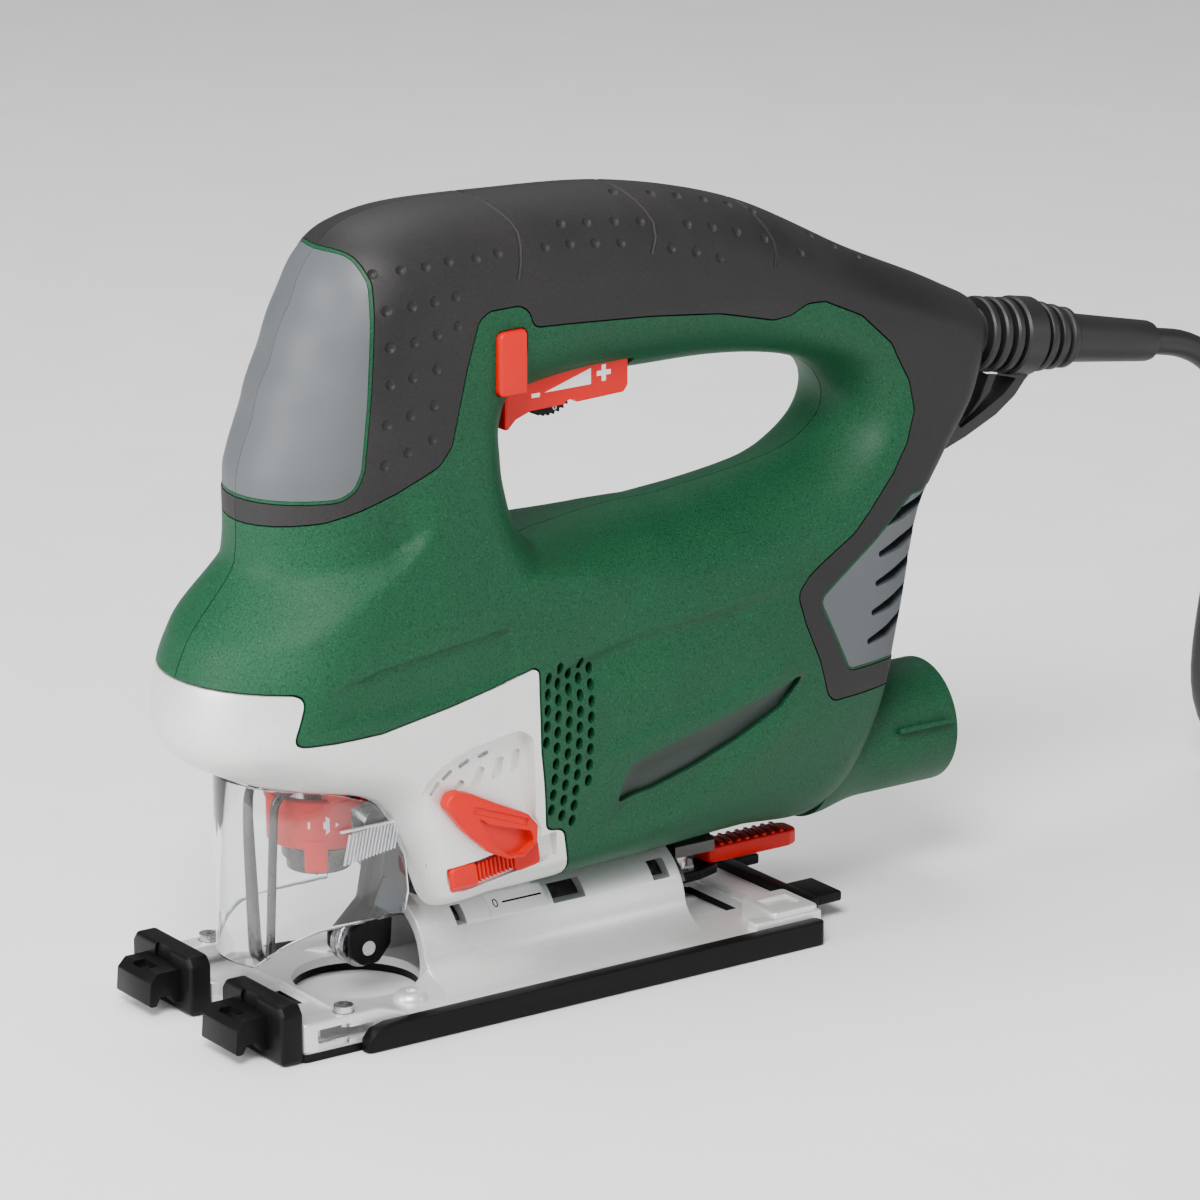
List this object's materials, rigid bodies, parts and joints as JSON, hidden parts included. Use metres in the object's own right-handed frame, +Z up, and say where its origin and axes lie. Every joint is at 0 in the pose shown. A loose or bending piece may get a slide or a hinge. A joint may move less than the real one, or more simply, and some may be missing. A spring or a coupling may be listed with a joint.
{
  "type": "corded jigsaw",
  "caption": "Corded bow-handle jigsaw: clamshell body, rubber grips, cast nose, tilting base in a shoe, motor with geared plunger drive, clear chip cover, dust outlet and coiled cord.",
  "frame": {"origin": "on the sole, on the centre line, below the middle of the body", "axes": "+X points to the cable end, -Y to the side with the lever and blower switch, +Z up"},
  "size_m": [0.4664, 0.1317, 0.2113],
  "materials": {
    "green_plastic": "satin",
    "black_rubber": "matte",
    "grey_plastic": "matte",
    "cast_aluminium": "satin",
    "black_plastic": "satin",
    "clear_plastic": "clear",
    "red_plastic": "satin",
    "steel": "satin",
    "bronze": "satin",
    "copper": "satin",
    "board_green": "satin",
    "foil_yellow": "satin",
    "graphite": "matte",
    "lens": "clear"
  },
  "bodies": {
    "housing": {"housing_left": "green_plastic", "housing_right": "green_plastic", "grip_left": "black_rubber", "grip_right": "black_rubber", "front_pad_left": "grey_plastic", "front_pad_right": "grey_plastic", "rear_grille_left": "grey_plastic", "rear_grille_right": "grey_plastic", "gearbox_housing": "cast_aluminium", "gear_frame": "steel", "dust_tube": "green_plastic", "dust_duct": "black_plastic", "finger_guard": "steel", "work_light": "lens", "clamp_bracket": "steel", "trigger_pin": "steel", "plunger_bushes": "bronze", "gear_axle": "steel", "stator": "steel", "field_coils": "copper", "front_bearing": "steel", "rear_bearing": "steel", "brush_carrier": "black_plastic", "carbon_brushes": "graphite", "switch_module": "black_plastic", "control_board": "board_green", "capacitor": "foil_yellow", "mains_leads": "black_plastic", "fork_pin": "steel", "housing_screws": "steel", "gearbox_screws": "steel", "cable_boot": "black_rubber", "cord_clamp": "black_plastic", "key_strap": "black_rubber", "cord_tube": "black_rubber", "cord_coil": "black_rubber", "plug": "black_plastic"},
    "base": {"base_plate": "cast_aluminium", "sliding_shoe": "black_plastic", "fence_screws": "steel"},
    "clamp": {"clamp_lever": "red_plastic", "clamp_bolt": "steel"},
    "trigger_body": {"trigger": "red_plastic"},
    "dial": {"speed_dial": "black_plastic"},
    "lock": {"lock_button": "red_plastic"},
    "orbit": {"orbital_lever": "red_plastic"},
    "blower": {"blower_switch": "red_plastic"},
    "release": {"release_lever": "red_plastic"},
    "plunger_body": {"plunger": "steel", "blade_clamp": "black_plastic"},
    "weight": {"counterweight": "steel"},
    "armature": {"armature_shaft": "steel", "armature_core": "copper", "commutator": "copper", "cooling_fan": "black_plastic"},
    "gear": {"drive_gear": "steel"},
    "fork": {"roller_fork": "black_plastic", "roller_pin": "steel"},
    "roller": {"guide_roller": "steel"},
    "cover": {"chip_cover": "clear_plastic"}
  },
  "joints": [
    {"name": "base_tilt", "type": "hinge", "parent": "housing", "child": "base", "pos_m": [0.015, 0, 0.009], "axis": [1, 0, 0], "range_deg": [-45, 45]},
    {"name": "base_clamp", "type": "hinge", "parent": "housing", "child": "clamp", "pos_m": [0.0658, 0, 0.013], "axis": [0, 0, -1], "range_deg": [0, 60]},
    {"name": "trigger_rock", "type": "hinge", "parent": "housing", "child": "trigger_body", "pos_m": [0.005, 0, 0.1695], "axis": [0, -1, 0], "range_deg": [0, 7], "stiffness_Nm_per_rad": 1.2},
    {"name": "dial_turn", "type": "hinge", "parent": "trigger_body", "child": "dial", "pos_m": [0.019, 0, 0.1593], "axis": [0, 1, 0], "range_deg": [-150, 150]},
    {"name": "lock_push", "type": "slide", "parent": "housing", "child": "lock", "axis": [0, 1, 0], "range_m": [0, 0.0028], "stiffness_N_per_m": 400},
    {"name": "orbit_set", "type": "hinge", "parent": "housing", "child": "orbit", "pos_m": [-0.0055, -0.029, 0.0455], "axis": [0, 1, 0], "range_deg": [0, 45]},
    {"name": "blower_slide", "type": "slide", "parent": "housing", "child": "blower", "axis": [0.9888, 0, 0.1495], "range_m": [0, 0.005]},
    {"name": "blade_release", "type": "hinge", "parent": "housing", "child": "release", "pos_m": [-0.05, 0, 0.052], "axis": [0, 0, 1], "range_deg": [0, 20], "stiffness_Nm_per_rad": 0.15},
    {"name": "plunger_stroke", "type": "slide", "parent": "housing", "child": "plunger_body", "axis": [0, 0, 1], "range_m": [-0.0115, 0.0115]},
    {"name": "weight_stroke", "type": "slide", "parent": "housing", "child": "weight", "axis": [0, 0, 1], "range_m": [-0.007, 0.007]},
    {"name": "armature_spin", "type": "hinge", "parent": "housing", "child": "armature", "pos_m": [0.045, 0, 0.07], "axis": [1, 0, 0], "continuous": true},
    {"name": "gear_spin", "type": "hinge", "parent": "housing", "child": "gear", "pos_m": [-0.0305, 0, 0.0988], "axis": [1, 0, 0], "continuous": true},
    {"name": "fork_swing", "type": "hinge", "parent": "housing", "child": "fork", "pos_m": [-0.029, 0, 0.041], "axis": [0, 1, 0], "range_deg": [0, 3]},
    {"name": "roller_turn", "type": "hinge", "parent": "fork", "child": "roller", "pos_m": [-0.038, 0, 0.014], "axis": [0, 1, 0], "continuous": true},
    {"name": "cover_pull", "type": "slide", "parent": "housing", "child": "cover", "axis": [-1, 0, 0], "range_m": [0, 0.06]}
  ],
  "couplings": [
    {"joint": "weight_stroke", "follows": "plunger_stroke", "ratio": -0.6087},
    {"joint": "gear_spin", "follows": "armature_spin", "ratio": -0.14286}
  ]
}
